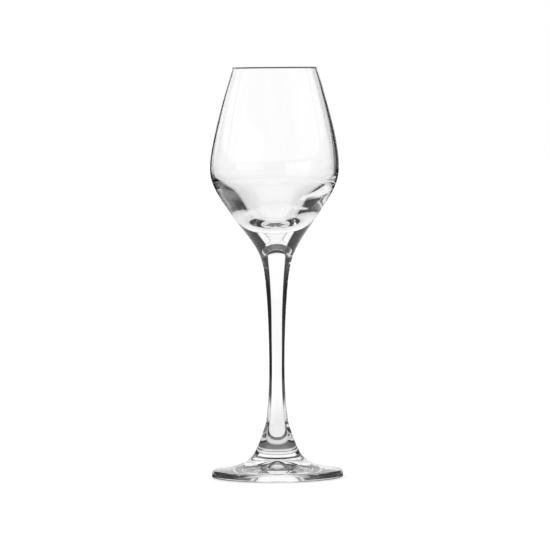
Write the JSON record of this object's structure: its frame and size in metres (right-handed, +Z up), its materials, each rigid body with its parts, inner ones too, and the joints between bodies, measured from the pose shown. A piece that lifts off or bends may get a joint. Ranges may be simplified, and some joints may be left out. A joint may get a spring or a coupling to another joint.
{
  "type": "cordial glass",
  "caption": "Clear stemmed cordial glass: tulip bowl narrowing to the rim over a thick solid base, drawn waisted stem and round trumpet foot; holds a small pour of liqueur.",
  "frame": {"origin": "centre of the ring the foot rests on, on the table plane", "axes": "+Z up along the glass's axis of revolution, from the foot to the rim"},
  "size_m": [0.055, 0.055, 0.1718],
  "materials": {
    "clear_glass": "clear colourless fire-polished glass"
  },
  "bodies": {
    "root": {"bowl": "clear_glass", "stem": "clear_glass", "foot": "clear_glass"}
  },
  "joints": []
}
